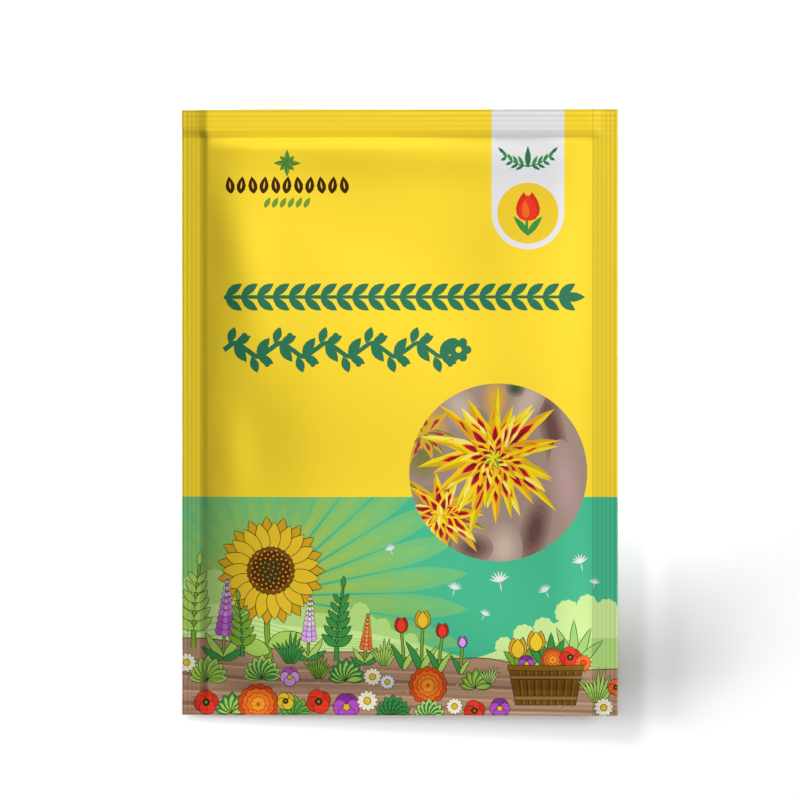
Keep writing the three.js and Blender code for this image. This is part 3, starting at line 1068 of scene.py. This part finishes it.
def inner_face(rim):
    grid = grid_points(INSIDE_GRID)
    points, triangles, _ = triangulate(np.concatenate([rim, grid]), [], [list(range(len(rim)))])
    return points, triangles


def add_object(name, mesh):
    piece = bpy.data.objects.new(name, mesh)
    bpy.context.scene.collection.objects.link(piece)
    return piece


def mesh_from(name, vertices, triangles, normals):
    mesh = bpy.data.meshes.new(name)
    mesh.vertices.add(len(vertices))
    mesh.vertices.foreach_set("co", (np.asarray(vertices) * MM).ravel())
    mesh.loops.add(3 * len(triangles))
    mesh.loops.foreach_set("vertex_index", np.asarray(triangles, np.int32).ravel())
    mesh.polygons.add(len(triangles))
    mesh.polygons.foreach_set("loop_start", np.arange(len(triangles), dtype=np.int32) * 3)
    mesh.update(calc_edges=True)
    mesh.polygons.foreach_set("use_smooth", np.ones(len(triangles), bool))
    mesh.normals_split_custom_set(normals.reshape(-1, 3).tolist())
    return mesh


# The way that the cut edge faces, along each stretch of the rim
def edge_normals(starts, ends):
    along = ends - starts
    away = np.column_stack([along[:, 1], -along[:, 0], np.zeros(len(along))])
    return away / np.linalg.norm(away, axis=1, keepdims=True)


def add_inks(mesh, kinds):
    slots = list(dict.fromkeys(kinds))
    for kind in slots:
        mesh.materials.append(film_material(*kind))
    numbers = {kind: number for number, kind in enumerate(slots)}
    mesh.polygons.foreach_set("material_index", np.array([numbers[kind] for kind in kinds], np.int32))


# A panel of film: a printed outer face, a plain inner one, and the cut edge between them.
# facing is 1 for the front panel and -1 for the back one.
def film_panel(name, outside, inside, facing, art):
    outer, outer_faces, kinds = printed_face(art)
    rim = perimeter_order(outer)
    inner, inner_faces = inner_face(outer[rim])
    inner_rim = perimeter_order(inner)
    count = len(outer)
    vertices = np.concatenate([
        np.column_stack([outer, outside(outer[:, 0], outer[:, 1])]),
        np.column_stack([inner, inside(inner[:, 0], inner[:, 1])]),
    ])
    a, b = rim, np.roll(rim, -1)
    c, d = inner_rim + count, np.roll(inner_rim, -1) + count
    edge_faces = np.concatenate([np.column_stack([a, c, b]), np.column_stack([b, c, d])])
    inner_faces = inner_faces[:, ::-1]
    away = edge_normals(outer[a], outer[b])
    normals = np.concatenate([
        face_normals(outside, outer[:, 0], outer[:, 1], facing)[outer_faces],
        face_normals(inside, inner[:, 0], inner[:, 1], -facing)[inner_faces],
        np.repeat(np.concatenate([away, away])[:, None, :], 3, axis=1),
    ])
    triangles = np.concatenate([outer_faces, inner_faces + count, edge_faces])
    if facing < 0:
        triangles = triangles[:, ::-1]
        normals = normals[:, ::-1]
    mesh = mesh_from(name, vertices, triangles, normals)
    add_inks(mesh, kinds + [(INSIDE_FILM, "pocket")] * (len(inner_faces) + len(edge_faces)))
    add_panel_map(mesh, vertices, triangles, len(outer_faces))
    return add_object(name, mesh)


# A flat map of a panel: the printed face takes most of it, and the rest a corner
MAP_MARGIN = 0.01
MAP_PRINT = (0.7, 0.98)
MAP_REST = (0.26, 0.36)


def add_panel_map(mesh, vertices, triangles, printed):
    shares = vertices[triangles][:, :, :2] / (WIDTH, LENGTH) + 0.5
    places = shares * MAP_PRINT + MAP_MARGIN
    rest_corner = (MAP_PRINT[0] + 3 * MAP_MARGIN, MAP_MARGIN)
    places[printed:] = shares[printed:] * MAP_REST + rest_corner
    layer = mesh.uv_layers.new(name="OFBake")
    layer.data.foreach_set("uv", places.ravel())


front = film_panel("front_panel", front_outside, front_inside, 1, front_print())
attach(front, "root")
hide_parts("front_film")

back = film_panel("back_panel", back_outside, back_inside, -1, back_print())
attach(back, "root")
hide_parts("back_film")


# The seeds: lenses on a spiral, as the construction places them
SEED_RADIUS = 0.62
SEED_HALF_THICKNESS = 0.42
SEED_TILT = 0.25
PINCH = {"x": 3, "y": -26, "seeds": 64, "spacing": 0.48, "heap": 0.5, "clearance": 0.1}
GOLDEN_ANGLE = 180 * (3 - math.sqrt(5))
SEED_RINGS = 10
SEED_SIDES = 20


def construction_random(seed):
    state = seed
    while True:
        state = (state * 1664525 + 1013904223) % 2 ** 32
        yield state / 2 ** 32


def lens():
    zeniths = np.linspace(0, 180, SEED_RINGS + 1)[1:-1]
    around = np.linspace(0, 360, SEED_SIDES, endpoint=False)
    points = [(0, 0, 1)] + [tuple(toward(a, z)) for z in zeniths for a in around] + [(0, 0, -1)]
    last = len(points) - 1
    triangles = []
    for side in range(SEED_SIDES):
        ahead = (side + 1) % SEED_SIDES
        triangles.append((0, 1 + side, 1 + ahead))
        low = last - SEED_SIDES
        triangles.append((last, low + ahead, low + side))
        for ring in range(len(zeniths) - 1):
            start = 1 + ring * SEED_SIDES
            below = start + SEED_SIDES
            triangles.append((start + side, below + side, below + ahead))
            triangles.append((start + side, below + ahead, start + ahead))
    return np.array(points), np.array(triangles)


def seed_pinch():
    ball, faces = lens()
    sizes = np.array([SEED_RADIUS, SEED_RADIUS, SEED_HALF_THICKNESS])
    rise = math.hypot(SEED_RADIUS * math.sin(SEED_TILT), SEED_HALF_THICKNESS * math.cos(SEED_TILT))
    lowest = FILM + PINCH["clearance"] + rise
    wild = construction_random(7)
    vertices, triangles, normals = [], [], []
    for n in range(PINCH["seeds"]):
        tilt = Matrix.Rotation(SEED_TILT * (2 * next(wild) - 1), 3, "X")
        turn = np.array(Matrix.Rotation(2 * math.pi * next(wild), 3, "Z") @ tilt)
        reach = PINCH["spacing"] * math.sqrt(n + 0.5)
        heaped = PINCH["heap"] * max(0, 1 - 2 * n / PINCH["seeds"])
        middle = (*polar(PINCH["x"], PINCH["y"], reach, n * GOLDEN_ANGLE), lowest + heaped)
        outward = ball / sizes
        outward /= np.linalg.norm(outward, axis=1, keepdims=True)
        vertices.append(ball * sizes @ turn.T + middle)
        triangles.append(faces + n * len(ball))
        normals.append((outward @ turn.T)[faces])
    mesh = mesh_from("seeds", np.concatenate(vertices), np.concatenate(triangles), np.concatenate(normals))
    mesh.materials.append(seed_material())
    return add_object("seeds_look", mesh)


seeds = seed_pinch()
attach(seeds, "root")
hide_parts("seeds")


# Floor, lights and camera
FLOOR_REACH = 3000
FLOOR_TONE = (0.9, 0.9, 0.9)
FIELD = 183.6
LENS = 300
SENSOR = 36
AIM = (0.1, 2.91)
SKY_STRENGTH = 0.12
BOX_DISTANCE = 2.5

# Softboxes, each with its azimuth and zenith angle, size and power: one lights the sachet, and
# the others the floor
KEY_BOX = (40, 45, 0.8, 89)
FLOOR_BOXES = [
    (0, 0, 1.5, 9),
    (20, 40, 0.9, 14),
    (120, 50, 0.9, 8),
    (135, 50, 0.6, 16),
    (175, 70, 1, 61),
    (185, 81, 0.6, 20),
    (195, 78, 0.6, 52),
]
# Pools of light on the floor, from straight above
POOLS = [
    {"x": 23, "y": 12, "radius": 81, "power": 93},
    {"x": 92, "y": 62, "radius": 62, "power": 16},
]
POOL_LIGHT_HEIGHT = 1500
POOL_LIGHT_RADIUS = 0.01


def add_light(name, kind, place, aim, power, lit):
    data = bpy.data.lights.new(name, kind)
    data.energy = power
    light = bpy.data.objects.new(name, data)
    light.location = place
    light.rotation_euler = (Vector(place) - Vector(aim)).to_track_quat("Z", "Y").to_euler()
    bpy.context.scene.collection.objects.link(light)
    group = bpy.data.collections.new(name + "_lit")
    for piece in lit:
        group.objects.link(piece)
    light.light_linking.receiver_collection = group
    return data


# A round softbox aimed at the sachet
def softbox(name, azimuth, zenith, size, power, lit):
    place = toward(azimuth, zenith) * BOX_DISTANCE
    data = add_light(name, "AREA", place, (0, 0, 0), power, lit)
    data.shape = "DISK"
    data.size = size


floor_mesh = bpy.data.meshes.new("floor")
reach = FLOOR_REACH * MM
corners = [(x, y, 0) for x, y in rectangle(-reach, -reach, reach, reach)]
floor_mesh.from_pydata(corners, [], [(0, 1, 2, 3)])
floor = add_object("floor", floor_mesh)
floor_material, floor_shader = new_material("floor", FLOOR_TONE)
floor_shader.inputs["Specular IOR Level"].default_value = 0
add_surface(floor_material, floor_shader, **FLOOR_FINISH)
floor_mesh.materials.append(floor_material)

softbox("sachet_key", *KEY_BOX, [front, back, seeds])
for number, box in enumerate(FLOOR_BOXES):
    softbox("floor_box_%d" % number, *box, [floor])
for number, pool in enumerate(POOLS):
    aim = Vector((pool["x"], pool["y"], 0)) * MM
    place = aim + Vector((0, 0, POOL_LIGHT_HEIGHT * MM))
    lamp = add_light("floor_pool_%d" % number, "SPOT", place, aim, pool["power"], [floor])
    lamp.spot_size = 2 * math.atan(pool["radius"] / POOL_LIGHT_HEIGHT)
    lamp.spot_blend = 1
    lamp.shadow_soft_size = POOL_LIGHT_RADIUS

world = bpy.data.worlds.new("world")
bpy.context.scene.world = world
world.use_nodes = True
background = world.node_tree.nodes["Background"]
background.inputs["Color"].default_value = (1, 1, 1, 1)
background.inputs["Strength"].default_value = SKY_STRENGTH

camera_data = bpy.data.cameras.new("camera")
camera_data.lens = LENS
camera_data.sensor_width = SENSOR
camera_data.clip_end = 10
camera = bpy.data.objects.new("camera", camera_data)
camera.location = (AIM[0] * MM, AIM[1] * MM, (SEAL_HEIGHT + FIELD * LENS / SENSOR) * MM)
bpy.context.scene.collection.objects.link(camera)
bpy.context.scene.camera = camera
bpy.context.scene.view_settings.view_transform = "Standard"
